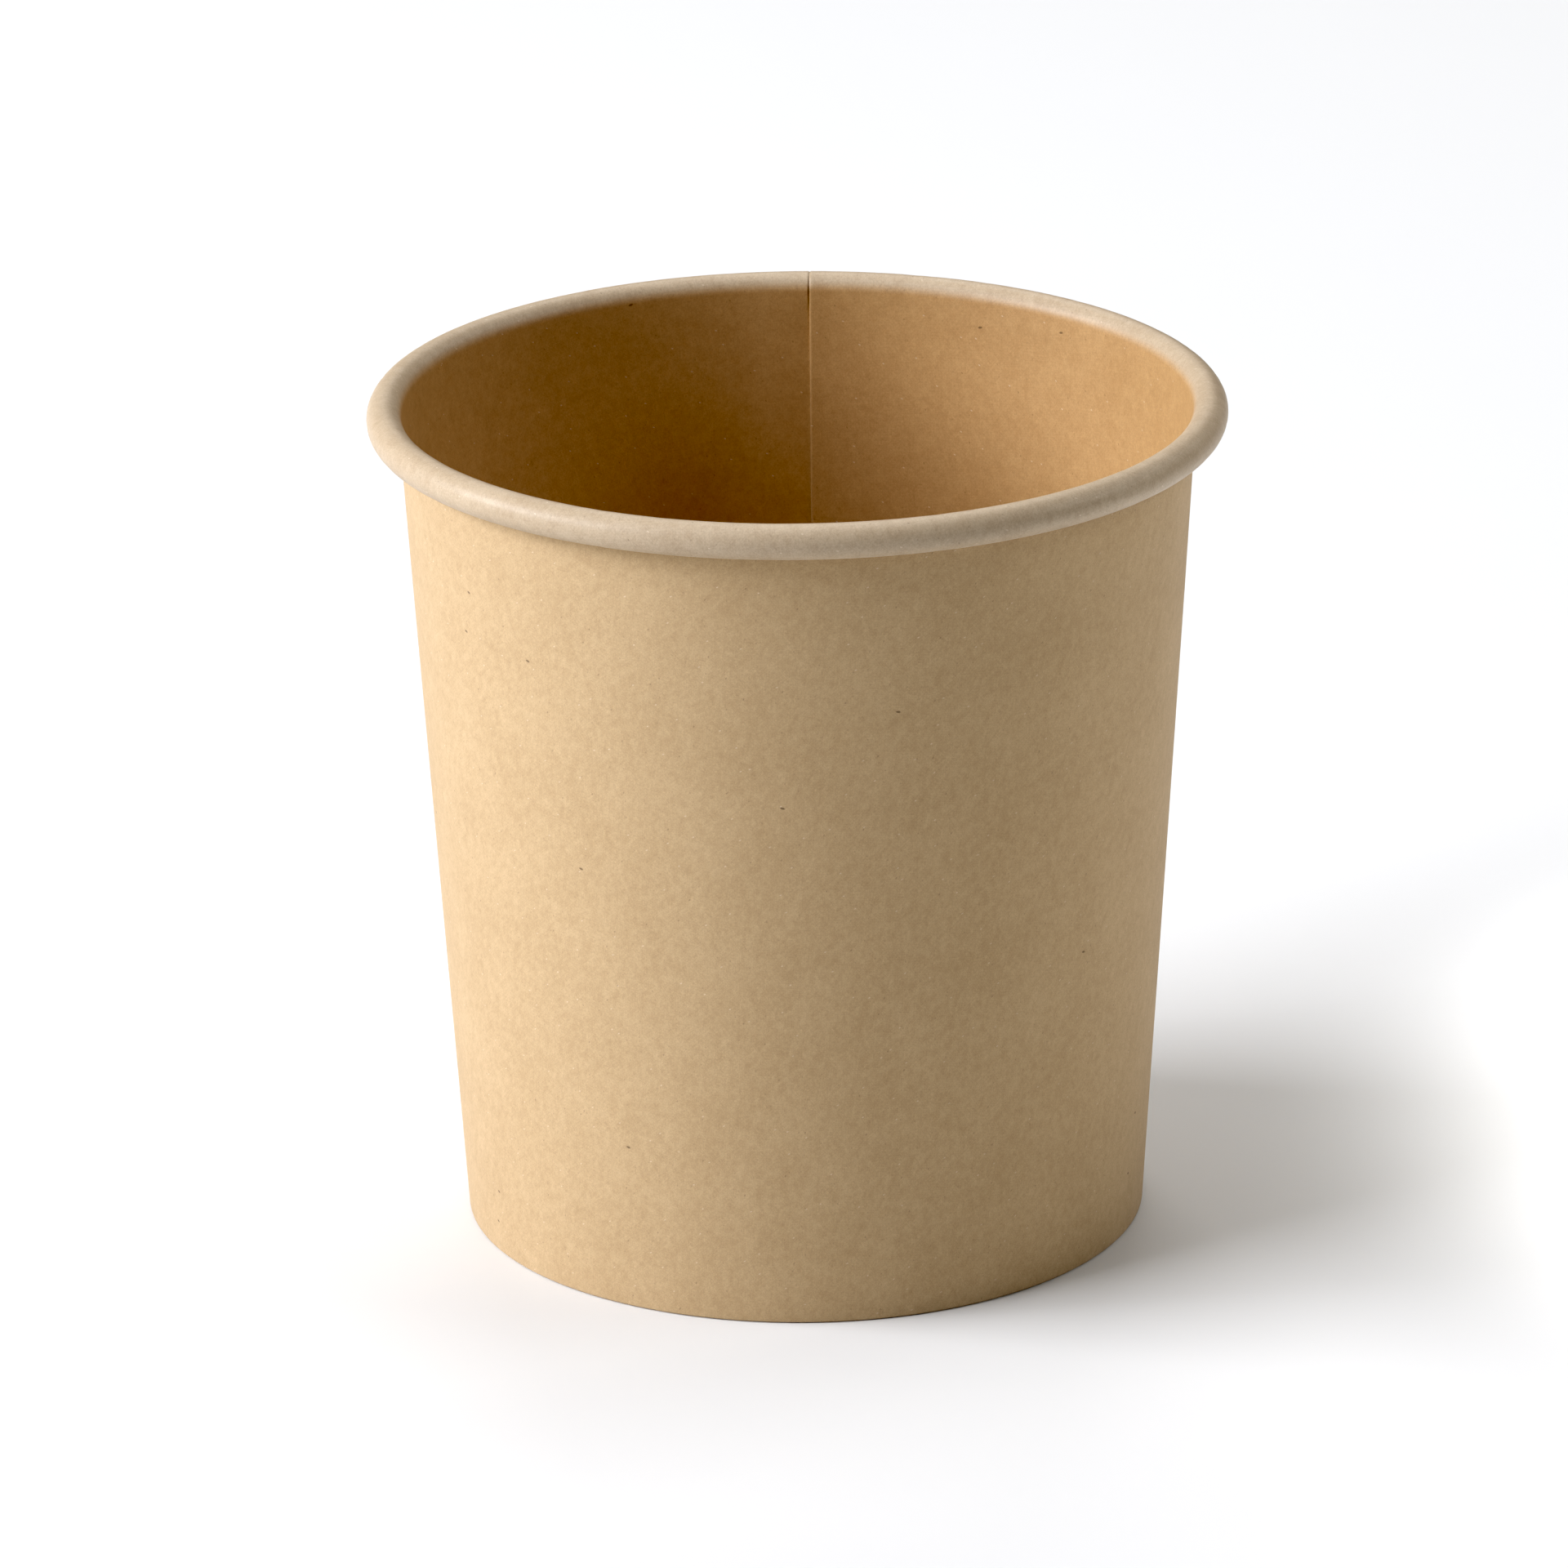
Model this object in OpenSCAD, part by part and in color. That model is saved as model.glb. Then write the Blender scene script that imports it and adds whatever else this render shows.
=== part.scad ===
// Paper soup cup: a folded side wall with a rolled rim and a lapped seam, and a skirted base.
// Sizes are in millimetres. +Z is up, +X is to the right and -Y faces the viewer.
// The origin is on the cup's axis, in the plane that the cup stands on.

/* [Overall] */
// Diameter over the rolled rim
rim_d = 98; // [92:0.5:104]
// Height from the table to the top of the rim
cup_h = 98; // [80:1:115]
// Diameter over the wall at the foot
foot_d = 78.6; // [72:0.2:84]

/* [Board] */
// Thickness of the side wall's board
wall_t = 0.42; // [0.34:0.02:0.5]
// Thickness of the base's board
base_t = 0.38; // [0.3:0.02:0.46]

/* [Rolled rim] */
// Diameter of the roll's section
roll_d = 4; // [3.6:0.1:5]
// Angle that the tucked edge turns on inside the roll, past the wall
tuck_turn = 50; // [20:5:80]
// Clearance around the tucked edge
tuck_gap = 0.08; // [0.04:0.01:0.14]

/* [Side seam] */
// Direction of the inner lap's cut edge, counted from +X towards +Y
seam_at = 88; // [0:1:359]
// Width of the lap, as a turn about the axis in degrees
lap_turn = 10; // [6:0.5:16]
// Turn of each step in which the outer lap comes back onto the wall's round
step_turn = 0.8; // [0.5:0.1:1.5]
// Number of those steps
ease_steps = 8; // [5:1:10]

/* [Foot] */
// Height of the base's underside above the table
base_rise = 8; // [5:0.5:14]
// Height left free between the hem's cut edge and the base
hem_space = 1.5; // [1:0.1:2.5]
// Outer radius of the fold's two corners
fold_r = 0.34; // [0.2:0.02:0.34]
// Outer radius of the bend between base and skirt
skirt_r = 1.1; // [0.6:0.1:1.3]
// Clearance between the skirt and the board around it
seal_gap = 0.06; // [0.04:0.01:0.1]

/* [Hidden] */
$fn = 144;
arc_step = 15;

kraft = [0.76, 0.60, 0.42];
kraft_base = [0.68, 0.52, 0.34];

// The roll's centre, seen in a section through the axis
roll_r = roll_d / 2;
roll_x = rim_d / 2 - roll_r;
roll_z = cup_h - roll_r;

// The wall leans so that its inner face is tangent to the roll and its outer face meets the foot
run = roll_x - foot_d / 2;
lean = acos((roll_r - wall_t) / norm([run, roll_z])) - atan2(roll_z, run);
across = [cos(lean), -sin(lean)];

// Radius of the wall's inner face at height z, moved outward by off
function wall_x(z, off) =
    (roll_x * cos(lean) - roll_z * sin(lean) - roll_r + off + z * sin(lean)) / cos(lean);

// Layers at the foot, counted outward from the wall's inner face
skirt_off = -seal_gap - base_t;
hem_off = skirt_off - seal_gap;
hem_top = base_rise - hem_space;
hem_mid = [wall_x(fold_r, hem_off - wall_t + fold_r), fold_r];

// Seam angles
ease_turn = ease_steps * step_turn;
main_turn = 360 - lap_turn - ease_turn;

// Points along an arc, about every arc_step degrees
function arc(mid, radius, from, to) = let (n = ceil(abs(to - from) / arc_step))
    [for (i = [0:n]) mid + radius * [
        cos(from + (to - from) * i / n),
        sin(from + (to - from) * i / n)
    ]];

// The same without its first point, where that would repeat the outline's last one
function arc_on(mid, radius, from, to) = let (points = arc(mid, radius, from, to))
    [for (i = [1:len(points) - 1]) points[i]];

// Section of the side wall where its inner face lies off outward and its board is thick
module wall_section(off, thick) {
    foot_mid = [wall_x(fold_r, off + thick - fold_r), fold_r];
    roll_mid = [roll_x, roll_z];
    outer = roll_r - off;
    tuck_r = outer - thick - tuck_gap;
    tuck_mid = [roll_x, roll_z - outer + tuck_r];
    hem_edge = [wall_x(hem_top, hem_off), hem_top];
    polygon(concat(
        // Up the outer face and round the inside of the roll
        arc(foot_mid, fold_r, -90, -lean),
        arc(roll_mid, outer - thick, 180 - lean, -90),
        // One layer is tucked in; under the lap, the corner of the other is cut off
        thick > wall_t ? [tuck_mid - [0, tuck_r - wall_t]] : [],
        arc_on(tuck_mid, tuck_r - wall_t, 270, 180 - tuck_turn),
        arc(tuck_mid, tuck_r, 180 - tuck_turn, 270),
        // Over the outside of the roll and down the inner face
        arc_on(roll_mid, outer, -90, 180 - lean),
        // Round the slot that holds the skirt, and over the hem's cut edge
        [
            [wall_x(wall_t, off), wall_t],
            [wall_x(wall_t, hem_off), wall_t],
            hem_edge,
            hem_edge - wall_t * across
        ],
        arc(hem_mid, fold_r, 180 - lean, 270)
    ));
}

module side_wall() {
    color(kraft) union() {
        // One layer of board
        rotate_extrude(angle = main_turn, start = seam_at + ease_turn)
            wall_section(0, wall_t);
        // Two layers where the ends of the board lap; the corner of one is cut off under the roll
        rotate_extrude(angle = lap_turn, start = seam_at - lap_turn)
            wall_section(0, 2 * wall_t);
        // The outer lap comes back from behind the inner lap's cut edge
        for (i = [0:ease_steps - 1])
            rotate_extrude(angle = step_turn, start = seam_at + i * step_turn)
                wall_section(wall_t * (1 - (i + 0.5) / ease_steps), wall_t);
    }
}

// Section of the base: a flat disc that bends down into a skirt
module base_section() {
    top = base_rise + base_t;
    bend_mid = [wall_x(top - skirt_r, -seal_gap - skirt_r), top - skirt_r];
    skirt_z = wall_t + seal_gap;
    polygon(concat(
        [[0, base_rise]],
        arc(bend_mid, skirt_r - base_t, 90, -lean),
        [
            [wall_x(skirt_z, skirt_off), skirt_z],
            [wall_x(skirt_z, -seal_gap), skirt_z]
        ],
        arc(bend_mid, skirt_r, -lean, 90),
        [[0, top]]
    ));
}

module base_disc() {
    color(kraft_base) rotate_extrude() base_section();
}

side_wall();
base_disc();
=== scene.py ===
"""Kraft paper soup cup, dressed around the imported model.

The sizes repeat the part's source. Meshes are worked out in millimetres and stored in metres.
The side wall is one sheet of board: hem, foot fold, wall, rolled rim and tucked edge, wrapped once
round and lapped on itself. The base is a second sheet with a skirt.
"""
import logging
import math
from dataclasses import dataclass
from enum import Enum
from typing import Dict, List, Sequence, Tuple, Union

import bpy
import numpy as np
from mathutils import Matrix, Vector


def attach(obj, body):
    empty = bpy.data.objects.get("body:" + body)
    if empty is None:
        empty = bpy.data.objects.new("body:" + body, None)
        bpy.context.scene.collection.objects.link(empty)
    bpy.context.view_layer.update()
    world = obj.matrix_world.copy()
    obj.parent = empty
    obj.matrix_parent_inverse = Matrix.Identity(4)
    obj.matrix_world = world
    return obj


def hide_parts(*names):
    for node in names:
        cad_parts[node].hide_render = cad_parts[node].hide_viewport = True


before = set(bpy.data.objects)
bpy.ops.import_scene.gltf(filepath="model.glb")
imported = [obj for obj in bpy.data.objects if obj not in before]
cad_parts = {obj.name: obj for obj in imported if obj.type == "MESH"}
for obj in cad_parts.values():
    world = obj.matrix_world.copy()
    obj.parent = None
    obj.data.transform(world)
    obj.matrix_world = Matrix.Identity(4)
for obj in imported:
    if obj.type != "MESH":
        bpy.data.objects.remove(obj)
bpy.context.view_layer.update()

LOG = logging.getLogger("soup_cup")
Triple = Tuple[float, float, float]
Colour = Tuple[float, float, float, float]

MM = 0.001
FULL_TURN = 360.0
# Directions in a section, in degrees.
UP, INWARD, DOWN = 90.0, 180.0, 270.0

# Names of a sheet's flat map and of its share in the roll; that share places the roll's paler, greyer
# painted reflection and its thicker coat.
BOARD_MAP = "board_plane"
ROLLED = "rolled"
# How far the raw face lies from the lined one on the flat map, in millimetres.
RAW_SHIFT = 160.0
# Angle in degrees over which an edge between two faces stays sharp.
SHARP_OVER = 42.0

# How far a seed of 1 moves a pattern along each axis, in features.
SEED_STEPS = (0.37, 0.73, 0.11)
# Mean of a noise; less it, a noise swings round 0.
NOISE_MEAN = 0.5
# Share of a speck's radius that has its full tone.
SPECK_CORE = 0.45
# Numbers of the Mix node's colour sockets, and of the object's own coordinates.
MIX_SHARE, MIX_FIRST, MIX_SECOND = 0, 6, 7
OBJECT_PLACE = 3

NEUTRAL = (1.0, 1.0, 1.0)
COOL = (0.985, 1.0, 1.05)
WARM = (1.01, 1.0, 0.95)
UNCHANGED = (1.0, 1.0, 1.0, 1.0)


class Surface(Enum):
    """Which finish a face of the board carries; the value is its material index."""

    RAW = 0
    LINED = 1
    CUT = 2


class Blend(Enum):
    """How two tones mix; the value is the Mix node's own word."""

    MIX = "MIX"
    MULTIPLY = "MULTIPLY"


@dataclass(frozen=True)
class CupSizes:
    """Sizes of the cup in millimetres and degrees, as in the part's source.

    Attributes:
        rim_d: diameter over the rim.
        height: height over all.
        foot_d: diameter over the foot.
        wall_t: thickness of the wall's board.
        base_t: thickness of the base's board.
        roll_d: diameter of the roll's section.
        tuck_turn: how far the roll's edge goes on inside the roll, past level.
        tuck_gap: clearance between the tucked edge and the roll.
        seam_at: direction of the inner lap's cut edge.
        lap_turn: width of the lap.
        ease_turn: turn over which the outer end rises over the inner one.
        base_rise: height of the base's underside.
        hem_space: clearance between the hem's edge and the base.
        fold_r: outer radius of the foot fold.
        skirt_r: outer radius of the base's bend.
        seal_gap: clearance between wall, skirt and hem.
    """

    rim_d: float = 98.0
    height: float = 98.0
    foot_d: float = 78.6
    wall_t: float = 0.42
    base_t: float = 0.38
    roll_d: float = 4.0
    tuck_turn: float = 50.0
    tuck_gap: float = 0.08
    seam_at: float = 88.0
    lap_turn: float = 10.0
    ease_turn: float = 6.4
    base_rise: float = 8.0
    hem_space: float = 1.5
    fold_r: float = 0.34
    skirt_r: float = 1.1
    seal_gap: float = 0.06

    @property
    def roll_r(self) -> float:
        """Radius of the roll's section."""
        return self.roll_d / 2

    @property
    def roll_mid(self) -> np.ndarray:
        """Centre of the roll's section, as radius and height."""
        return np.array([self.rim_d / 2 - self.roll_r, self.height - self.roll_r])

    @property
    def lean(self) -> float:
        """Lean of the wall from the vertical.

        Returns:
            The lean in radians.
        """
        run = self.roll_mid[0] - self.foot_d / 2
        rise = self.roll_mid[1]
        return math.acos((self.roll_r - self.wall_t) / math.hypot(run, rise)) - math.atan2(rise, run)

    @property
    def across(self) -> np.ndarray:
        """Unit vector through the board, from the inner face to the outer one."""
        return np.array([math.cos(self.lean), -math.sin(self.lean)])

    def wall_x(self, height: float, off: float) -> float:
        """Radius of the wall's inner face moved outward.

        Args:
            height: height above the table.
            off: distance outward from the inner face.

        Returns:
            The radius at that height.
        """
        mid = self.roll_mid
        start = mid[0] * math.cos(self.lean) - mid[1] * math.sin(self.lean) - self.roll_r
        return (start + off + height * math.sin(self.lean)) / math.cos(self.lean)


def arc(
    mid: Sequence[float], radius: Union[float, np.ndarray], start: float, end: float, count: int
) -> np.ndarray:
    """Points of an arc round mid, from one angle in degrees to the other."""
    turn = np.radians(np.linspace(start, end, count))
    return np.asarray(mid) + radius * np.stack([np.cos(turn), np.sin(turn)], -1)


def line(start: Sequence[float], end: Sequence[float], count: int) -> np.ndarray:
    """Evenly spaced points between two ends, without the ends."""
    share = np.linspace(0, 1, count + 2)[1:-1, None]
    return np.asarray(start) * (1 - share) + np.asarray(end) * share


def ease(value: np.ndarray) -> np.ndarray:
    """Smooth step from 0 to 1."""
    held = np.clip(value, 0, 1)
    return held * held * (3 - 2 * held)


def run_length(points: np.ndarray) -> np.ndarray:
    """Length along a row of points, counted from its first one."""
    return np.concatenate([[0], np.cumsum(np.linalg.norm(np.diff(points, axis=0), axis=1))])


def loop_kinds(count: int) -> List[Surface]:
    """Finishes round a section: lined face, cut edge, raw face, cut edge."""
    return [Surface.LINED] * (count - 1) + [Surface.CUT] + [Surface.RAW] * (count - 1) + [Surface.CUT]


class BoardMesh:
    """A mesh of board in which each column is one closed section."""

    def __init__(self, name: str) -> None:
        """Starts an empty mesh.

        Args:
            name: name of the mesh and of its object.
        """
        self.name = name
        self.places: List[np.ndarray] = []
        self.plane: List[np.ndarray] = []
        self.marks: Dict[str, List[np.ndarray]] = {ROLLED: []}
        self.faces: List[Tuple[int, ...]] = []
        self.kinds: List[int] = []

    def column(self, points: np.ndarray, turn: float, plane: np.ndarray, rolled: np.ndarray) -> None:
        """Adds the points of one section.

        Args:
            points: section as radius and height, in millimetres.
            turn: direction of the section in radians.
            plane: where each point lies on the flat board, in millimetres.
            rolled: share of the roll at each point, where the roll's painted reflection, its stretch
                whitening and its thicker coat apply.
        """
        radius, height = points[:, 0], points[:, 1]
        where = np.stack([radius * math.cos(turn), radius * math.sin(turn), height], -1)
        self.places.append(where * MM)
        self.plane.append(plane * MM)
        self.marks[ROLLED].append(rolled)

    def face(self, corners: Sequence[int], kind: Surface) -> None:
        """Adds one face with its finish."""
        self.faces.append(tuple(int(c) for c in corners))
        self.kinds.append(kind.value)

    def finish(self, materials: Sequence[bpy.types.Material]) -> bpy.types.Object:
        """Makes the Blender object.

        Args:
            materials: one material for each kind of surface.

        Returns:
            The new object, linked to the scene.
        """
        mesh = bpy.data.meshes.new(self.name)
        mesh.from_pydata(np.concatenate(self.places).tolist(), [], self.faces)
        plane = np.concatenate(self.plane)
        layer = mesh.uv_layers.new(name=BOARD_MAP)
        corners = np.zeros(len(mesh.loops), np.int32)
        mesh.loops.foreach_get("vertex_index", corners)
        layer.data.foreach_set("uv", plane[corners].astype(np.float32).ravel())
        for name, parts in self.marks.items():
            mark = mesh.attributes.new(name, "FLOAT", "POINT")
            mark.data.foreach_set("value", np.concatenate(parts).astype(np.float32))
        for material in materials:
            mesh.materials.append(material)
        mesh.polygons.foreach_set("material_index", np.array(self.kinds, np.int32))
        mesh.polygons.foreach_set("use_smooth", np.ones(len(self.faces), bool))
        mesh.validate()
        mesh.set_sharp_from_angle(angle=math.radians(SHARP_OVER))
        mesh.update()
        piece = bpy.data.objects.new(self.name, mesh)
        bpy.context.scene.collection.objects.link(piece)
        return piece


class Value:
    """A number socket of a shader, on which Python's operators add Math nodes."""

    def __init__(self, shader: "Shader", socket: bpy.types.NodeSocket) -> None:
        """Wraps a socket of that shader."""
        self.shader = shader
        self.socket = socket

    def math(self, operation: str, first: object, second: object) -> "Value":
        """Adds one Math node and gives its result."""
        return self.shader.node("ShaderNodeMath", {"operation": operation}, {0: first, 1: second})[0]

    def __add__(self, other: object) -> "Value":
        """This value plus another."""
        return self.math("ADD", self, other)

    def __radd__(self, other: object) -> "Value":
        """Another value plus this one."""
        return self.math("ADD", other, self)

    def __sub__(self, other: object) -> "Value":
        """This value minus another."""
        return self.math("SUBTRACT", self, other)

    def __rsub__(self, other: object) -> "Value":
        """Another value minus this one."""
        return self.math("SUBTRACT", other, self)

    def __mul__(self, other: object) -> "Value":
        """This value times another."""
        return self.math("MULTIPLY", self, other)

    def __rmul__(self, other: object) -> "Value":
        """Another value times this one."""
        return self.math("MULTIPLY", other, self)

    def over(self, limit: float) -> "Value":
        """1 where this value is over the limit, and 0 elsewhere."""
        return self.math("GREATER_THAN", self, limit)

    def smooth(self, low: float, high: float) -> "Value":
        """Smooth step of this value.

        Args:
            low: where the step is 0; it may be the greater of the two.
            high: where the step is 1.

        Returns:
            The step between 0 and 1.
        """
        start, end, first, last = (low, high, 0.0, 1.0) if low < high else (high, low, 1.0, 0.0)
        settings = {"interpolation_type": "SMOOTHSTEP"}
        places = {"Value": self, "From Min": start, "From Max": end, "To Min": first, "To Max": last}
        return self.shader.node("ShaderNodeMapRange", settings, places)[0]


class Shader:
    """A new material and its node tree."""

    def __init__(self, name: str) -> None:
        """Makes a material with an empty node tree.

        Args:
            name: the material's name.
        """
        self.material = bpy.data.materials.new(name)
        self.material.use_nodes = True
        self.tree = self.material.node_tree
        self.tree.nodes.clear()

    def node(self, kind: str, settings: Dict[str, object], places: Dict[object, object]) -> List[Value]:
        """Adds one node.

        Args:
            kind: the node's type.
            settings: the node's own settings, set first.
            places: value or link for each named or numbered socket.

        Returns:
            The node's outputs, in order.
        """
        made = self.tree.nodes.new(kind)
        for key, value in settings.items():
            setattr(made, key, value)
        for key, value in places.items():
            if isinstance(value, Value):
                self.tree.links.new(value.socket, made.inputs[key])
            else:
                made.inputs[key].default_value = value
        return [Value(self, out) for out in made.outputs if out.enabled]

    def board_plane(self) -> Value:
        """Where a point lies on the flat board, in metres."""
        return self.node("ShaderNodeUVMap", {"uv_map": BOARD_MAP}, {})[0]

    def mark(self, name: str) -> Value:
        """A number stored on the mesh."""
        outs = self.node("ShaderNodeAttribute", {"attribute_name": name}, {})
        return next(out for out in outs if out.socket.name == "Fac")

    def placed(self, plane: Value, length: float, width: float, turn: float, seed: float) -> Value:
        """Coordinates in which a feature of the given length and width has the size 1.

        Args:
            plane: coordinates on the board in metres.
            length: length of the feature in millimetres.
            width: width of the feature in millimetres.
            turn: direction of its length in degrees.
            seed: number that moves the pattern.

        Returns:
            The new coordinates.
        """
        settings = {"vector_type": "TEXTURE"}
        places = {
            "Vector": plane,
            "Location": tuple(seed * step for step in SEED_STEPS),
            "Rotation": (0.0, 0.0, math.radians(turn)),
            "Scale": (length * MM, width * MM, 1.0),
        }
        return self.node("ShaderNodeMapping", settings, places)[0]

    def noise(self, where: Value, detail: float, rough: float) -> Value:
        """Noise between 0 and 1 with features of the size 1.

        Args:
            where: coordinates.
            detail: number of finer layers.
            rough: strength of the finer layers.

        Returns:
            The noise as a number.
        """
        settings = {"noise_dimensions": "3D"}
        places = {"Vector": where, "Scale": 1.0, "Detail": detail, "Roughness": rough}
        return self.node("ShaderNodeTexNoise", settings, places)[0]

    def specks(self, where: Value, share: float, size: float) -> Value:
        """Scattered specks, at most one in each cell of the size 1.

        Args:
            where: coordinates.
            share: share of the cells that hold a speck.
            size: radius of a speck as a share of a cell.

        Returns:
            1 in the specks and 0 elsewhere.
        """
        settings = {"voronoi_dimensions": "2D"}
        distance, colour = self.node("ShaderNodeTexVoronoi", settings, {"Vector": where, "Scale": 1.0})[:2]
        red = self.node("ShaderNodeSeparateColor", {}, {"Color": colour})[0]
        return distance.smooth(size, size * SPECK_CORE) * red.over(1.0 - share)

    def tone(
        self, share: Union[Value, float], first: object, second: object, blend: Blend = Blend.MIX
    ) -> Value:
        """Mixes two colours.

        Args:
            share: share of the second colour.
            first: first colour or link.
            second: second colour or link.
            blend: how they mix.

        Returns:
            The mixed colour.
        """
        settings = {"data_type": "RGBA", "blend_type": blend.value}
        places = {MIX_SHARE: share, MIX_FIRST: first, MIX_SECOND: second}
        return self.node("ShaderNodeMix", settings, places)[0]

    def shade(self, colour: Union[Value, Triple], amount: Value) -> Value:
        """Scales a colour by a number."""
        places = {"Vector": colour, "Scale": amount}
        return self.node("ShaderNodeVectorMath", {"operation": "SCALE"}, places)[0]

    def bump(self, height: Value, strength: float, depth: float) -> Value:
        """Turns a height into a normal; depth is that of a height of 1, in millimetres."""
        places = {"Strength": strength, "Distance": depth * MM, "Height": height}
        return self.node("ShaderNodeBump", {}, places)[0]

    def close(self, places: Dict[str, object]) -> bpy.types.Material:
        """Ends the tree in a Principled shader.

        Args:
            places: value or link for each of its sockets.

        Returns:
            The material.
        """
        surface = self.node("ShaderNodeBsdfPrincipled", {}, places)[0]
        self.node("ShaderNodeOutputMaterial", {}, {"Surface": surface})
        return self.material


@dataclass(frozen=True)
class NoiseLayer:
    """One layer of the board's unevenness.

    Attributes:
        length: length of a feature in millimetres, and width its width.
        turn: direction of its length in degrees.
        step: number added to the finish's seed.
        detail: number of finer layers.
        rough: strength of the finer layers.
    """

    length: float
    width: float
    turn: float
    step: float
    detail: float = 2.0
    rough: float = 0.5


@dataclass(frozen=True)
class SpeckKind:
    """One kind of speck in the board.

    Attributes:
        length: length of a cell with one speck, in millimetres, and width its width.
        turn: direction of its length in degrees.
        step: number added to the finish's seed.
        share: share of the cells that hold a speck.
        size: radius of a speck as a share of the cell.
        strength: how strongly it is toned.
        pale: true for a pale speck.
    """

    length: float
    width: float
    turn: float
    step: float
    share: float
    size: float
    strength: float
    pale: bool = False


CLOUD = NoiseLayer(length=7.0, width=9.0, turn=0.0, step=7.0)
MOTTLE = NoiseLayer(length=1.1, width=1.5, turn=20.0, step=8.0, detail=3.0, rough=0.6)
GRAIN = NoiseLayer(length=0.16, width=0.2, turn=0.0, step=9.0)
FIBRES = tuple(
    NoiseLayer(length=1.1, width=0.11, turn=turn, step=step, rough=0.55)
    for step, turn in enumerate((8.0, 52.0, 97.0, 141.0))
)
PALE_CHIPS = SpeckKind(2.6, 5.0, turn=65.0, step=5.0, share=0.5, size=0.036, strength=0.36, pale=True)
SMALL_BITS = SpeckKind(2.0, 2.3, turn=0.0, step=6.0, share=0.5, size=0.055, strength=0.2)
DARK_CHIPS = SpeckKind(3.2, 5.4, turn=30.0, step=4.0, share=0.3, size=0.032, strength=0.36)
LONG_FLECKS = SpeckKind(11.0, 5.2, turn=12.0, step=3.0, share=0.06, size=0.034, strength=0.7)


@dataclass(frozen=True)
class BoardFinish:
    """A face of kraft board: its tones, fibres, specks and gloss.

    Attributes:
        name: the material's name.
        light: tone of its palest fibres.
        dark: tone of its darkest fibres.
        rolled: what the tone is multiplied by in the roll, a paler, greyer tone that is mostly a painted
            reflection of the white surroundings and partly the board's stretch whitening.
        fleck: tone of the dark specks.
        pale: tone of the pale specks.
        coat_on_roll: how much more coat there is on the roll.
        relief: strength of the relief, and relief_depth its depth in millimetres.
        fibre_depth: how much grain and fibres shade the board.
        cloud_tone: share of the clouding in the tone; the names in tone, relief and gloss are alike.
        seed: number that moves all patterns.
    """

    name: str
    light: Colour
    dark: Colour
    rolled: Colour = UNCHANGED
    fleck: Colour = (0.07, 0.035, 0.015, 1.0)
    pale: Colour = (0.86, 0.74, 0.56, 1.0)
    roughness: float = 0.86
    specular: float = 0.3
    coat: float = 0.0
    coat_roughness: float = 0.3
    coat_index: float = 1.45
    coat_on_roll: float = 0.3
    sheen: float = 0.0
    sheen_roughness: float = 0.5
    relief: float = 0.35
    relief_depth: float = 0.03
    fibre_depth: float = 0.34
    cloud_tone: float = 0.5
    mottle_tone: float = 0.9
    fibre_tone: float = 1.7
    fibre_relief: float = 1.4
    grain_relief: float = 0.8
    mottle_relief: float = 0.5
    grain_gloss: float = 0.08
    mottle_gloss: float = 0.06
    seed: float = 1.0

    def layer(self, shader: Shader, plane: Value, layer: NoiseLayer) -> Value:
        """One layer of unevenness, between 0 and 1."""
        where = shader.placed(plane, layer.length, layer.width, layer.turn, self.seed + layer.step)
        return shader.noise(where, layer.detail, layer.rough)

    def fibres(self, shader: Shader, plane: Value) -> Value:
        """Felted fibres in four directions, from about -0.5 to 0.5."""
        first, *others = (self.layer(shader, plane, kind) for kind in FIBRES)
        return sum(others, first) * (1.0 / len(FIBRES)) - NOISE_MEAN

    def speckled(self, shader: Shader, plane: Value, board: Value) -> Value:
        """Scatters the specks over the board, the pale ones lowest.

        Args:
            shader: the shader to add to.
            plane: coordinates on the board.
            board: tone of the board without specks.

        Returns:
            The tone with specks.
        """
        for kind in (PALE_CHIPS, SMALL_BITS, DARK_CHIPS, LONG_FLECKS):
            where = shader.placed(plane, kind.length, kind.width, kind.turn, self.seed + kind.step)
            spots = shader.specks(where, kind.share, kind.size) * kind.strength
            board = shader.tone(spots, board, self.pale if kind.pale else self.fleck)
        return board

    def build(self) -> bpy.types.Material:
        """Makes the material.

        Returns:
            The finished material.
        """
        shader = Shader(self.name)
        plane = shader.board_plane()
        rolled = shader.mark(ROLLED)
        fibres = self.fibres(shader, plane)
        cloud = self.layer(shader, plane, CLOUD) - NOISE_MEAN
        mottle = self.layer(shader, plane, MOTTLE) - NOISE_MEAN
        grain = self.layer(shader, plane, GRAIN) - NOISE_MEAN
        share = cloud * self.cloud_tone + mottle * self.mottle_tone + fibres * self.fibre_tone
        board = shader.tone((share + NOISE_MEAN).smooth(0.0, 1.0), self.dark, self.light)
        # On the roll the tone is multiplied paler and greyer: mostly a painted reflection of the white
        # surroundings, partly the board's stretch whitening.
        board = shader.tone(rolled, board, shader.tone(1.0, board, self.rolled, Blend.MULTIPLY))
        board = self.speckled(shader, plane, board)
        board = shader.shade(board, 1.0 + grain * self.fibre_depth + fibres * self.fibre_depth)
        height = fibres * self.fibre_relief + grain * self.grain_relief + mottle * self.mottle_relief
        places: Dict[str, object] = {
            "Base Color": board,
            "Roughness": self.roughness + grain * self.grain_gloss + mottle * self.mottle_gloss,
            "Normal": shader.bump(height + NOISE_MEAN, self.relief, self.relief_depth),
            "Specular IOR Level": self.specular,
        }
        if self.coat:
            places["Coat Weight"] = self.coat * (1.0 + rolled * self.coat_on_roll)
            places["Coat Roughness"] = self.coat_roughness
            places["Coat IOR"] = self.coat_index
        if self.sheen:
            places["Sheen Weight"] = self.sheen
            places["Sheen Roughness"] = self.sheen_roughness
        return shader.close(places)


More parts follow.
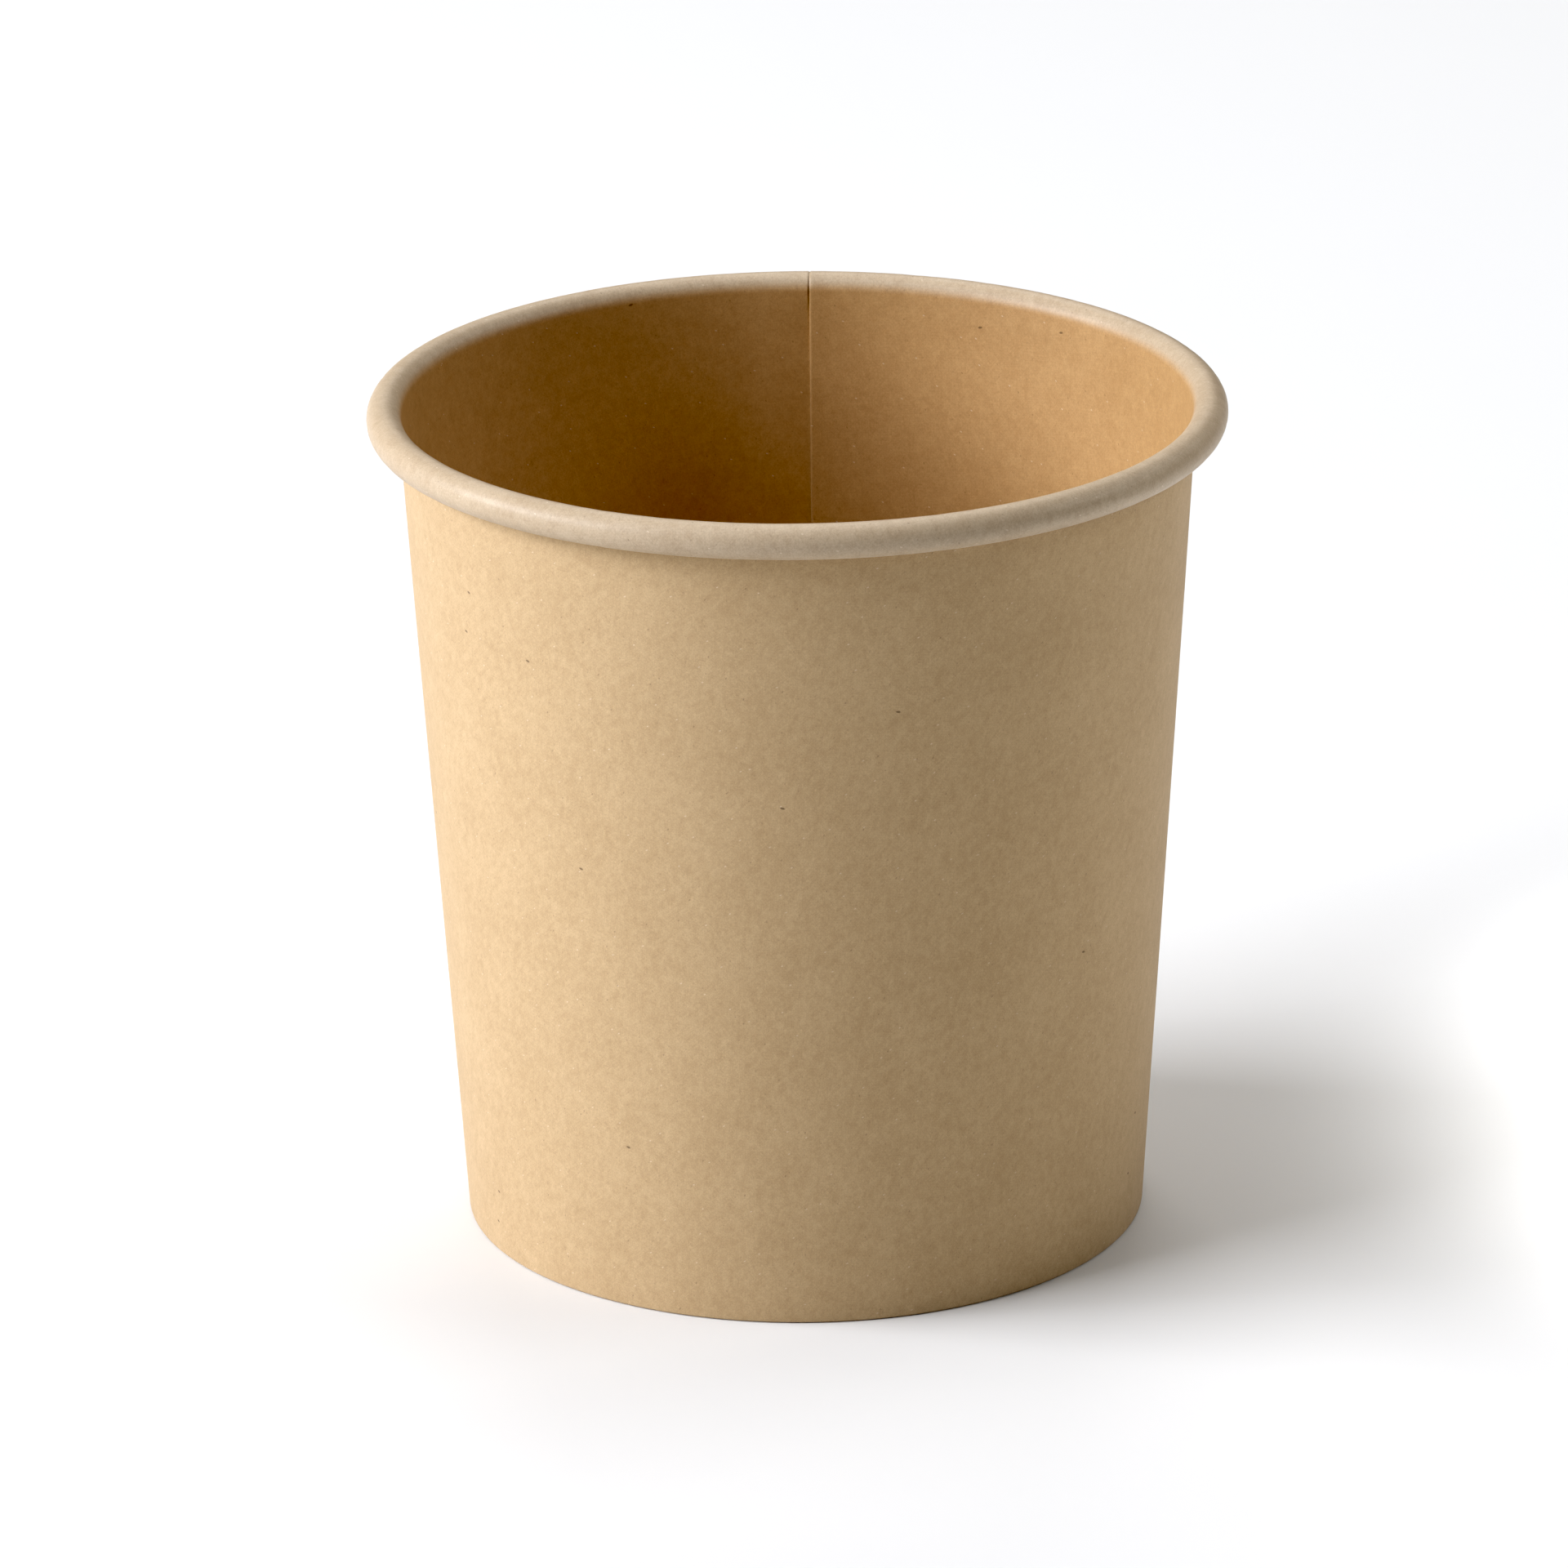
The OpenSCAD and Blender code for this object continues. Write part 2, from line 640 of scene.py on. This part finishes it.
@dataclass(frozen=True)
class FloorFinish:
    """The plain pale floor."""

    colour: Triple = (0.785, 0.785, 0.785)
    roughness: float = 0.9
    specular: float = 0.2
    cloud: NoiseLayer = NoiseLayer(length=60.0, width=60.0, turn=0.0, step=2.0)
    cloud_depth: float = 0.01

    def build(self) -> bpy.types.Material:
        """Makes the material.

        Returns:
            The finished material.
        """
        shader = Shader("studio_floor")
        where = shader.node("ShaderNodeTexCoord", {}, {})[OBJECT_PLACE]
        kind = self.cloud
        placed = shader.placed(where, kind.length, kind.width, kind.turn, kind.step)
        cloud = shader.noise(placed, kind.detail, kind.rough) - NOISE_MEAN
        colour = shader.shade(self.colour, 1.0 + cloud * self.cloud_depth)
        return shader.close({
            "Base Color": colour,
            "Roughness": self.roughness,
            "Specular IOR Level": self.specular,
        })


@dataclass
class SideWall:
    """The folded blank: hem, foot, wall, rolled rim and lapped side seam.

    Lengths are in millimetres and turns in degrees. The names that end in points or columns count
    the points along a section, or the sections.

    Attributes:
        bond: space between the lapped ends.
        off_power: how late the outer end rises over the inner one.
        lift: height over the table at which the outer lap's foot ends.
        soft: radius inside the foot fold.
        coarse_turn: turn between two sections; fine_turn is the one near the lap.
        groove_turn: width of the notch in the roll in front of the outer lap.
        groove_low: depth of the notch under the roll, and groove_top at its crest.
        groove_crest: how soon along the roll the notch gets as shallow as at the crest.
        edge_turn: width of the inner lap's softened cut edge, and edge_fall its depth.
        settle: height below the roll over which the wall meets its creases.
        cut_turn: width of the step at the outer lap's start.
        lapped_tuck: share of the tucked edge's turn that is left under the lap.
        wave: depth of the waviness; wave_counts are its waves round the cup.
        bulge_foot: height where it starts, and bulge_foot_run the run in which it grows.
        bulge_top: distance below the rim where it ends, and bulge_top_run the run before that.
        crease_count: number of creases in the roll; widths and depths are their least and greatest.
        rolled_points: points over which the roll's stretch whitening and painted reflection set in.
    """

    sizes: CupSizes
    bond: float = 0.01
    off_power: float = 1.7
    lift: float = 0.02
    soft: float = 0.06
    hem_points: int = 7
    corner_points: int = 6
    flat_points: int = 2
    wall_points: int = 30
    roll_points: int = 34
    tuck_points: int = 14
    coarse_turn: float = 1.2
    fine_turn: float = 0.32
    groove_turn: float = 0.3
    groove_low: float = 0.26
    groove_top: float = 0.07
    groove_crest: float = 3.5
    groove_columns: int = 7
    edge_turn: float = 0.36
    edge_fall: float = 0.08
    edge_columns: int = 5
    settle: float = 2.5
    cut_turn: float = 0.001
    lapped_tuck: float = 0.04
    wave: float = 0.10
    wave_counts: Tuple[int, ...] = (2, 3, 5, 9)
    wave_least: float = 0.4
    bulge_foot: float = 12.0
    bulge_foot_run: float = 25.0
    bulge_top: float = 6.0
    bulge_top_run: float = 20.0
    crease_count: int = 70
    crease_widths: Tuple[float, float] = (0.25, 0.9)
    crease_depths: Tuple[float, float] = (0.006, 0.03)
    rolled_points: int = 5
    seed: int = 11

    def __post_init__(self) -> None:
        """Draws the small irregularities of this one cup."""
        draw = np.random.default_rng(self.seed)
        self.wave_parts = [
            (k, draw.uniform(0, 2 * math.pi), draw.uniform(self.wave_least, 1.0) / k)
            for k in self.wave_counts
        ]
        self.crease_at = draw.uniform(0, FULL_TURN, self.crease_count)
        self.crease_width = draw.uniform(*self.crease_widths, self.crease_count)
        self.crease_depth = draw.uniform(*self.crease_depths, self.crease_count)

    @property
    def fold_first(self) -> int:
        """Number of a section's points before the foot fold's outer bend."""
        return 1 + self.hem_points + self.corner_points + self.flat_points

    @property
    def wall_first(self) -> int:
        """Number of a section's points before the wall."""
        return self.fold_first + self.corner_points

    def creases(self, turn: float) -> float:
        """Depth of the roll's fine creases in a direction."""
        gap = (turn - self.crease_at + FULL_TURN / 2) % FULL_TURN - FULL_TURN / 2
        return float(np.sum(self.crease_depth * np.exp(-((gap / self.crease_width) ** 2))))

    def bulge(self, turn: float, height: np.ndarray) -> np.ndarray:
        """How far the wall stands off its cone.

        Args:
            turn: direction in degrees.
            height: heights above the table.

        Returns:
            The distance at each height; it fades out at the foot and at the roll.
        """
        angle = math.radians(turn)
        total = sum(part * math.sin(k * angle + start) for k, start, part in self.wave_parts)
        from_foot = ease((height - self.bulge_foot) / self.bulge_foot_run)
        from_top = ease((self.sizes.height - self.bulge_top - height) / self.bulge_top_run)
        return self.wave * total * (from_foot * from_top)

    def off(self, along: float) -> float:
        """How far the board lies outward of the wall's round, along from the inner cut edge."""
        share = min(max((along - FULL_TURN) / self.sizes.ease_turn + 1, 0.0), 1.0)
        return (self.sizes.wall_t + self.bond) * share ** self.off_power

    def roll_off(self, along: float) -> np.ndarray:
        """How far the board lies inward of the roll's outer round.

        Args:
            along: turn from the inner lap's cut edge.

        Returns:
            The distance at each point of the roll.
        """
        crest = ease(np.linspace(0, self.groove_crest, self.roll_points))
        groove = self.groove_low + (self.groove_top - self.groove_low) * crest
        past = np.array((along - FULL_TURN) / self.groove_turn)
        return groove * ease(past + 1) + (self.sizes.wall_t + self.bond - groove) * ease(past)

    def stand_outside(self, lined: np.ndarray, raw: np.ndarray, off: float) -> None:
        """Ends the outer lap at the table, outside the fold of the inner one.

        Args:
            lined: points of the lined face, which are moved.
            raw: points of the raw face, which are moved.
            off: how far the board lies outward of the wall's round.
        """
        s, fold, bend = self.sizes, self.fold_first, self.corner_points
        share = np.linspace(0, 1, fold)[:, None]
        low = self.lift + np.linspace(0, self.lift, fold)[:, None]
        half = np.array([s.wall_x(self.lift, off + s.wall_t / 2), 0])
        to_lined = np.array([s.wall_x(self.lift, off) + self.soft, 0]) - half
        to_raw = np.array([s.wall_x(self.lift, off + s.wall_t) - s.fold_r, 0]) - half
        lined[:fold] = half + to_lined * share + np.concatenate([low * 0, low], 1)
        raw[:fold] = half + to_raw * share + np.concatenate([low * 0, self.lift * (1 - share)], 1)
        lined[fold:fold + bend] = line(lined[fold - 1], lined[fold + bend], bend)

    def section(self, along: float) -> Tuple[np.ndarray, np.ndarray]:
        """The two faces of the board in one direction.

        Args:
            along: turn from the inner lap's cut edge.

        Returns:
            Points of the lined face and of the raw face, from hem to tucked edge.
        """
        s, soft = self.sizes, self.soft
        turn = s.seam_at - along
        off = self.off(along)
        lean = math.degrees(s.lean)
        hem_off = -s.seal_gap - s.base_t - s.seal_gap
        hem_top = s.base_rise - s.hem_space
        hem_mid = (s.wall_x(s.fold_r, hem_off - s.wall_t + s.fold_r), s.fold_r)
        foot_mid = (s.wall_x(s.fold_r, off + s.wall_t - s.fold_r), s.fold_r)
        hem_in = (s.wall_x(s.wall_t + soft, hem_off) + soft, s.wall_t + soft)
        wall_in = (s.wall_x(s.wall_t + soft, off) - soft, s.wall_t + soft)
        fall = self.edge_fall * max(1 - along / self.edge_turn, 0.0) ** 2
        round_r = s.roll_r - self.creases(turn) - self.roll_off(along)
        outer = float(round_r[-1])
        lapped = 1 - ease(np.array((along - s.lap_turn) / s.ease_turn))
        tuck_r = outer - s.wall_t * (1 + float(lapped)) - s.tuck_gap
        tuck_mid = s.roll_mid - np.array([0, outer - tuck_r])
        tuck_end = DOWN - (UP + s.tuck_turn) * (self.lapped_tuck if along > FULL_TURN else 1.0)
        top_in = s.roll_mid - (s.roll_r - off) * s.across
        top_out = top_in + s.wall_t * s.across
        hem_edge = np.array([s.wall_x(hem_top, hem_off), hem_top])
        hem, bend, flat, wall = self.hem_points, self.corner_points, self.flat_points, self.wall_points
        lined = np.concatenate([
            [hem_edge],
            line(hem_edge, (hem_in[0] - soft, hem_in[1]), hem),
            arc(hem_in, soft, INWARD, DOWN, bend),
            line((hem_in[0], s.wall_t), (wall_in[0], s.wall_t), flat),
            arc(wall_in, soft, DOWN - FULL_TURN, -lean, bend),
            line((wall_in[0] + soft, wall_in[1]), top_in, wall),
            arc(s.roll_mid, round_r[:, None] - fall, INWARD - lean, DOWN - FULL_TURN, self.roll_points),
            arc(tuck_mid, tuck_r, DOWN, tuck_end, self.tuck_points)[1:],
        ])
        raw = np.concatenate([
            [hem_edge - s.wall_t * s.across],
            line(hem_edge - s.wall_t * s.across, np.array(hem_mid) - s.fold_r * s.across, hem),
            arc(hem_mid, s.fold_r, INWARD - lean, DOWN, bend),
            line((hem_mid[0], 0), (foot_mid[0], 0), flat),
            arc(foot_mid, s.fold_r, DOWN - FULL_TURN, -lean, bend),
            line(np.array(foot_mid) + s.fold_r * s.across, top_out, wall),
            arc(s.roll_mid, round_r[:, None] - s.wall_t, INWARD - lean, DOWN - FULL_TURN, self.roll_points),
            arc(tuck_mid, tuck_r - s.wall_t, DOWN, tuck_end, self.tuck_points)[1:],
        ])
        if along > FULL_TURN:
            self.stand_outside(lined, raw, off)
        part = slice(self.wall_first, self.wall_first + wall)
        for face in (lined, raw):
            face[part, 0] += self.bulge(turn, face[part, 1])
            rise = ease((face[part, 1] - s.roll_mid[1] + self.settle) / self.settle)
            face[part, 0] += (s.roll_r - off - float(round_r[0])) * rise
        lined[part, 0] += fall
        return lined, raw

    def turns(self) -> np.ndarray:
        """Where the sections lie, closest together at the lap.

        Returns:
            Turns from the inner lap's cut edge.
        """
        lap_end = self.sizes.lap_turn + self.sizes.ease_turn
        ease_start = FULL_TURN - self.sizes.ease_turn
        groove_start = FULL_TURN - self.groove_turn
        last = FULL_TURN + self.sizes.lap_turn
        return np.concatenate([
            np.linspace(0, self.edge_turn, self.edge_columns),
            np.arange(self.edge_turn + self.fine_turn, lap_end, self.fine_turn),
            np.linspace(lap_end, ease_start, int((ease_start - lap_end) / self.coarse_turn)),
            np.arange(ease_start + self.fine_turn, groove_start, self.fine_turn),
            np.linspace(groove_start, FULL_TURN, self.groove_columns),
            np.arange(FULL_TURN + self.cut_turn, last, self.fine_turn),
            [last],
        ])

    def build(self, materials: Sequence[bpy.types.Material]) -> bpy.types.Object:
        """Makes the sheet.

        Args:
            materials: raw, lined and cut finish.

        Returns:
            The side wall's object.
        """
        s = self.sizes
        board = BoardMesh("folded_wall")
        turns = self.turns()
        sections = [self.section(float(along)) for along in turns]
        count = len(sections[0][0])
        mean_r = (s.rim_d + s.foot_d) / 4
        roll_first = self.wall_first + self.wall_points
        # Share of the roll, which places its painted reflection, its stretch whitening and its thicker
        # coat.
        rolled = np.zeros(2 * count)
        rolled[roll_first:count] = ease(np.arange(count - roll_first) / self.rolled_points)
        for along, (lined, raw) in zip(turns, sections):
            length = run_length((lined + raw) / 2)
            plane = np.stack([np.full(count, math.radians(along) * mean_r), length], -1)
            twice = np.concatenate([plane, plane[::-1] + np.array([0, RAW_SHIFT])])
            loop = np.concatenate([lined, raw[::-1]])
            board.column(loop, math.radians(s.seam_at - along), twice, rolled)
        loop_size = 2 * count
        for col in range(len(turns) - 1):
            a, b = col * loop_size, (col + 1) * loop_size
            for j, kind in enumerate(loop_kinds(count)):
                k = (j + 1) % loop_size
                board.face((a + j, a + k, b + k, b + j), kind)
        for col, flip in ((0, True), (len(turns) - 1, False)):
            a = col * loop_size
            for j in range(count - 1):
                quad = (a + j, a + j + 1, a + loop_size - 2 - j, a + loop_size - 1 - j)
                board.face(quad[::-1] if flip else quad, Surface.CUT)
        return board.finish(materials)


@dataclass
class BaseDisc:
    """The base: a flat disc whose edge bends down into a skirt.

    Attributes:
        columns: number of sections round the axis.
        hub_r: radius of the face that closes the disc at the axis, in millimetres.
        sag: how far the middle hangs down, in millimetres.
        map_mid: where the disc's middle lies on the flat map, in millimetres.
    """

    sizes: CupSizes
    columns: int = 300
    disc_points: int = 22
    bend_points: int = 9
    skirt_points: int = 7
    hub_r: float = 0.6
    sag: float = 0.12
    map_mid: Tuple[float, float] = (120.0, 420.0)

    def section(self) -> Tuple[np.ndarray, np.ndarray]:
        """The two faces of the base's board.

        Returns:
            Points of the upper face and of the lower face, from the axis to the skirt's edge.
        """
        s = self.sizes
        lean = math.degrees(s.lean)
        top = s.base_rise + s.base_t
        mid = np.array([s.wall_x(top - s.skirt_r, -s.seal_gap - s.skirt_r), top - s.skirt_r])
        skirt_z = s.wall_t + s.seal_gap
        out_edge = (s.wall_x(skirt_z, -s.seal_gap), skirt_z)
        in_edge = (s.wall_x(skirt_z, -s.seal_gap - s.base_t), skirt_z)
        inner_r = s.skirt_r - s.base_t
        start = self.hub_r
        upper = np.concatenate([
            [(start, top)],
            line((start, top), (mid[0], top), self.disc_points),
            arc(mid, s.skirt_r, UP, -lean, self.bend_points),
            line(mid + s.skirt_r * s.across, out_edge, self.skirt_points),
            [out_edge],
        ])
        lower = np.concatenate([
            [(start, s.base_rise)],
            line((start, s.base_rise), (mid[0], s.base_rise), self.disc_points),
            arc(mid, inner_r, UP, -lean, self.bend_points),
            line(mid + inner_r * s.across, in_edge, self.skirt_points),
            [in_edge],
        ])
        for face in (upper, lower):
            part = face[: self.disc_points + 1]
            part[:, 1] -= self.sag * (1 - ease(part[:, 0] / mid[0]))
        return upper, lower

    def build(self, materials: Sequence[bpy.types.Material]) -> bpy.types.Object:
        """Makes the sheet.

        Args:
            materials: raw, lined and cut finish.

        Returns:
            The base's object.
        """
        board = BoardMesh("skirted_base")
        upper, lower = self.section()
        count = len(upper)
        length = run_length((upper + lower) / 2) + upper[0, 0]
        loop = np.concatenate([upper, lower[::-1]])
        far = np.concatenate([length, length[::-1]])
        shift = np.concatenate([np.zeros(count), np.full(count, RAW_SHIFT)])
        mid_x, mid_y = self.map_mid
        for col in range(self.columns):
            turn = 2 * math.pi * col / self.columns
            plane = np.stack([mid_x + far * math.cos(turn), mid_y + far * math.sin(turn) + shift], -1)
            board.column(loop, turn, plane, np.zeros(2 * count))
        loop_size = 2 * count
        for col in range(self.columns):
            a, b = col * loop_size, (col + 1) % self.columns * loop_size
            for j, kind in enumerate(loop_kinds(count)[:-1]):
                board.face((b + j, b + j + 1, a + j + 1, a + j), kind)
        hub = [col * loop_size for col in range(self.columns)]
        board.face(hub, Surface.LINED)
        board.face([first + loop_size - 1 for first in reversed(hub)], Surface.RAW)
        return board.finish(materials)


@dataclass(frozen=True)
class PhotoCamera:
    """The camera that took the photograph, as fitted to the cup's outlines.

    Attributes:
        lens: focal length in millimetres, for a sensor of the width sensor.
        elevation: how far the camera looks down, in degrees.
        distance: distance from the point aimed at, in millimetres.
        aim_height: height of that point on the cup's axis, in millimetres.
        roll: turn about the view's axis, in degrees; yaw and pitch are small turns too.
        clip_near: nearest distance seen, and clip_far the farthest, in metres.
    """

    lens: float = 231.34
    sensor: float = 36.0
    elevation: float = 20.05
    distance: float = 1162.3
    aim_height: float = 48.94
    roll: float = -0.648
    yaw: float = -0.0993
    pitch: float = 0.0844
    clip_near: float = 0.01
    clip_far: float = 50.0

    def build(self) -> bpy.types.Object:
        """Makes the camera and sets it as the scene's own.

        Returns:
            The camera's object.
        """
        rise = math.radians(self.elevation)
        back = Vector((0.0, -math.cos(rise), math.sin(rise)))
        right = Vector((1.0, 0.0, 0.0))
        up = back.cross(right)
        yaw, pitch, roll = (math.radians(a) for a in (self.yaw, self.pitch, self.roll))
        ahead = -back * math.cos(yaw) + right * math.sin(yaw)
        side = right * math.cos(yaw) + back * math.sin(yaw)
        view = ahead * math.cos(pitch) + up * math.sin(pitch)
        top = up * math.cos(pitch) - ahead * math.sin(pitch)
        level = side * math.cos(roll) + top * math.sin(roll)
        crown = top * math.cos(roll) - side * math.sin(roll)
        data = bpy.data.cameras.new("photo_camera")
        data.lens = self.lens
        data.sensor_width = self.sensor
        data.clip_start = self.clip_near
        data.clip_end = self.clip_far
        camera = bpy.data.objects.new("photo_camera", data)
        place = (Vector((0.0, 0.0, self.aim_height)) + back * self.distance) * MM
        turn = Matrix((level, crown, -view)).transposed().to_4x4()
        camera.matrix_world = Matrix.Translation(place) @ turn
        bpy.context.scene.collection.objects.link(camera)
        bpy.context.scene.camera = camera
        return camera


@dataclass(frozen=True)
class SoftBox:
    """One soft studio light, aimed at the cup's middle; lengths are in metres."""

    name: str
    azimuth: float
    elevation: float
    watts: float
    colour: Triple = NEUTRAL
    distance: float = 1.92
    side: float = 0.8
    aim_height: float = 0.05

    def build(self) -> bpy.types.Object:
        """Makes the light.

        Returns:
            The light's object.
        """
        data = bpy.data.lights.new(self.name, "AREA")
        data.shape = "RECTANGLE"
        data.size = self.side
        data.size_y = self.side
        data.energy = self.watts
        data.color = self.colour
        light = bpy.data.objects.new(self.name, data)
        turn, rise = math.radians(self.azimuth), math.radians(self.elevation)
        level = math.cos(rise)
        toward = Vector((math.cos(turn) * level, math.sin(turn) * level, math.sin(rise)))
        light.location = Vector((0.0, 0.0, self.aim_height)) + toward * self.distance
        light.rotation_euler = toward.to_track_quat("Z", "Y").to_euler()
        bpy.context.scene.collection.objects.link(light)
        return light


@dataclass(frozen=True)
class FloorLamp:
    """A lamp overhead that clears the far end of the cup's shadow and misses the cup.

    Attributes:
        place: where the lamp hangs, in metres.
        aim: the point on the floor that it is aimed at.
        reach: radius of its round on the floor.
        blend: share of that round in which it fades.
        radius: the lamp's own radius.
    """

    place: Triple = (0.195, 0.04, 0.6)
    aim: Triple = (0.175, 0.02, 0.0)
    reach: float = 0.11
    blend: float = 0.5
    radius: float = 0.02
    watts: float = 16.0

    def build(self) -> bpy.types.Object:
        """Makes the lamp.

        Returns:
            The lamp's object.
        """
        data = bpy.data.lights.new("floor_lamp", "SPOT")
        data.energy = self.watts
        data.spot_blend = self.blend
        data.shadow_soft_size = self.radius
        toward = Vector(self.place) - Vector(self.aim)
        data.spot_size = 2 * math.atan2(self.reach, toward.length)
        lamp = bpy.data.objects.new("floor_lamp", data)
        lamp.location = self.place
        lamp.rotation_euler = toward.to_track_quat("Z", "Y").to_euler()
        bpy.context.scene.collection.objects.link(lamp)
        return lamp


@dataclass(frozen=True)
class Studio:
    """Floor, lights and plain surroundings.

    Attributes:
        floor_size: side of the floor in metres.
        floor_drop: how far the floor lies under the foot, so that the two faces don't meet.
        ambient: strength of the surroundings.
        black: level of the picture's black, for a photograph's deeper shadows.
        boxes: the soft lights.
    """

    floor_size: float = 8.0
    floor_drop: float = 0.00005
    ambient: float = 0.0
    boxes: Tuple[SoftBox, ...] = (
        SoftBox("left_box", azimuth=180.0, elevation=25.0, watts=33.0, colour=COOL),
        SoftBox("front_left_box", azimuth=205.0, elevation=25.0, watts=18.0, colour=COOL),
        SoftBox("middle_left_box", azimuth=205.0, elevation=45.0, watts=7.5, colour=COOL),
        SoftBox("high_left_box", azimuth=203.0, elevation=71.0, watts=6.5),
        SoftBox("top_box", azimuth=72.0, elevation=79.0, watts=7.8),
        SoftBox("rear_box", azimuth=90.0, elevation=45.0, watts=7.0),
        SoftBox("right_box", azimuth=0.0, elevation=33.0, watts=8.3, colour=WARM),
        SoftBox("rear_right_box", azimuth=40.0, elevation=35.0, watts=3.8),
    )
    black: float = 0.024

    def build(self) -> bpy.types.Object:
        """Makes the studio.

        Returns:
            The floor's object.
        """
        half = self.floor_size / 2
        mesh = bpy.data.meshes.new("studio_floor")
        corners = [(-half, -half, 0.0), (half, -half, 0.0), (half, half, 0.0), (-half, half, 0.0)]
        mesh.from_pydata(corners, [], [(0, 1, 2, 3)])
        mesh.materials.append(FloorFinish().build())
        floor = bpy.data.objects.new("studio_floor", mesh)
        floor.location.z = -self.floor_drop
        bpy.context.scene.collection.objects.link(floor)
        for box in self.boxes:
            box.build()
        FloorLamp().build()
        world = bpy.data.worlds.new("studio_surroundings")
        world.use_nodes = True
        backdrop = next(n for n in world.node_tree.nodes if n.type == "BACKGROUND")
        backdrop.inputs["Color"].default_value = (*NEUTRAL, 1.0)
        backdrop.inputs["Strength"].default_value = self.ambient
        bpy.context.scene.world = world
        view = bpy.context.scene.view_settings
        view.view_transform = "Standard"
        view.use_curve_mapping = True
        view.curve_mapping.black_level = (self.black, self.black, self.black)
        view.curve_mapping.update()
        return floor


class SoupCup:
    """The whole cup."""

    def __init__(self, sizes: CupSizes) -> None:
        """Makes the cup's finishes.

        Args:
            sizes: the cup's sizes.
        """
        self.sizes = sizes
        raw = BoardFinish(
            "kraft_raw",
            light=(0.556, 0.398, 0.225, 1.0),
            dark=(0.444, 0.303, 0.159, 1.0),
            sheen=0.15,
        )
        lined = BoardFinish(
            "kraft_lined",
            light=(0.515, 0.318, 0.143, 1.0),
            dark=(0.423, 0.247, 0.104, 1.0),
            # Paler, greyer roll: mostly a painted reflection of the white surroundings, partly stretch
            # whitening.
            rolled=(0.99, 1.27, 1.98, 1.0),
            roughness=0.6,
            specular=0.2,
            coat=0.3,
            coat_roughness=0.38,
            relief=0.3,
            seed=31.0,
        )
        cut = BoardFinish(
            "kraft_cut_edge",
            light=(0.7, 0.55, 0.38, 1.0),
            dark=(0.56, 0.42, 0.27, 1.0),
            roughness=0.95,
            relief=0.6,
            seed=57.0,
        )
        self.finishes = [raw.build(), lined.build(), cut.build()]

    def build(self) -> None:
        """Builds both sheets, seats them on the frame and reports them."""
        wall = SideWall(self.sizes).build(self.finishes)
        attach(wall, "root")
        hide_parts("side_wall")
        LOG.info("folded wall: %d faces", len(wall.data.polygons))
        base = BaseDisc(self.sizes).build(self.finishes)
        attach(base, "root")
        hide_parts("base_disc")
        LOG.info("skirted base: %d faces", len(base.data.polygons))


def main() -> None:
    """Builds camera, studio and cup in order."""
    logging.basicConfig(level=logging.INFO, format="%(name)s: %(message)s")
    PhotoCamera().build()
    LOG.info("camera placed")
    Studio().build()
    LOG.info("studio placed")
    SoupCup(CupSizes()).build()


if __name__ == "__main__":
    main()
